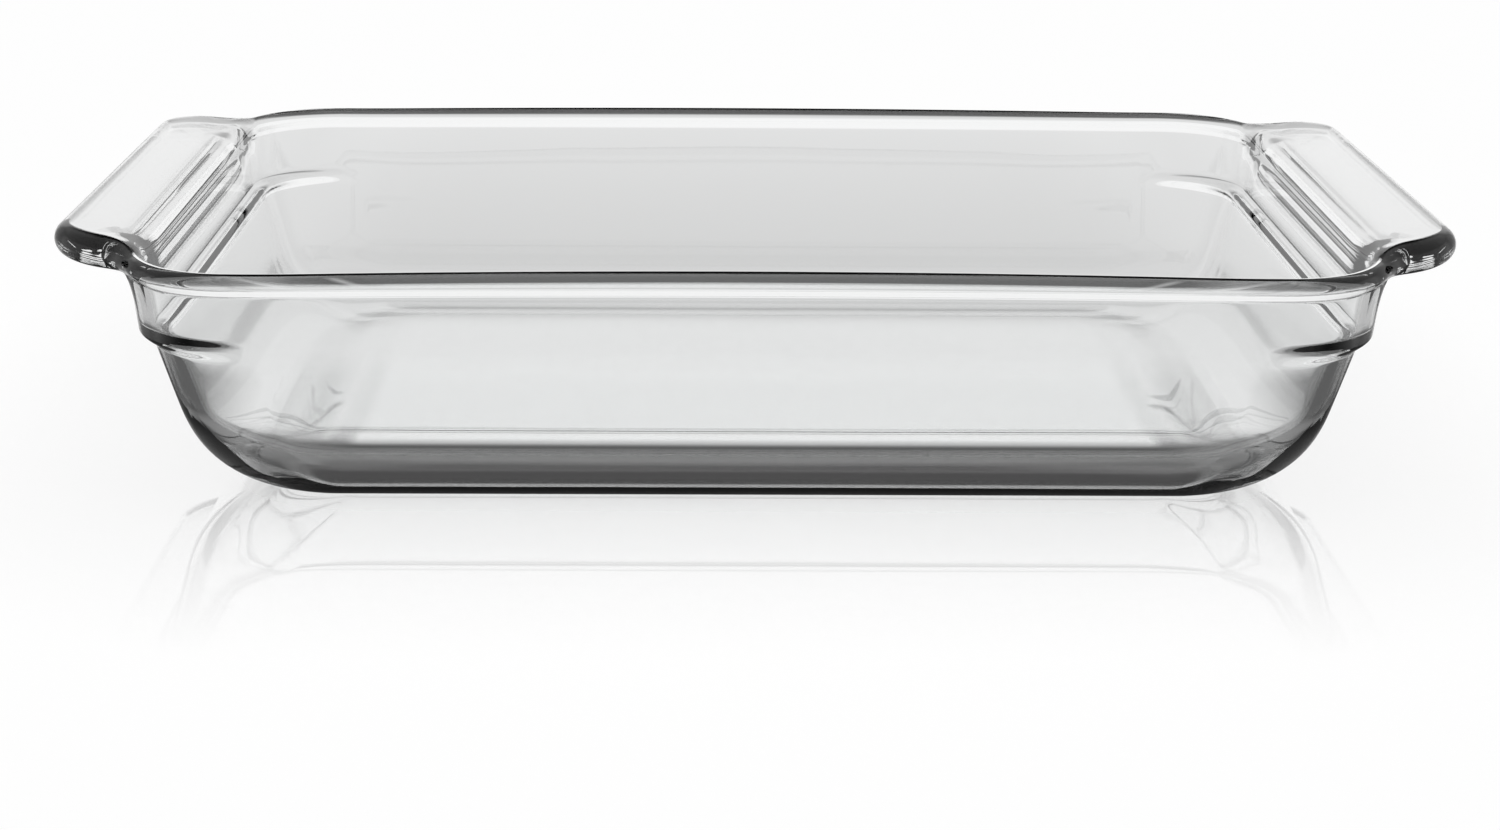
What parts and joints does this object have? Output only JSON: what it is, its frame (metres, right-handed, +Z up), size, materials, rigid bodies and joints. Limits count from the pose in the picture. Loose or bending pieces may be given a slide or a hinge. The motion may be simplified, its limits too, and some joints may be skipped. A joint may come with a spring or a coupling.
{
  "type": "lasagna dish",
  "caption": "Oblong clear glass baking dish with drafted walls, a ledge in the end walls, a beaded rim and a wide wing handle at each end.",
  "frame": {"origin": "centre of the flat base, on the surface that the dish stands on", "axes": "+X along the dish towards one handle, +Y across it, +Z up out of the mouth"},
  "size_m": [0.3952, 0.2404, 0.0725],
  "materials": {
    "clear_glass": "fire-polished clear pressed glass, colourless with a faint grey in the thick edges"
  },
  "bodies": {
    "root": {"glass_dish": "clear_glass"}
  },
  "joints": []
}
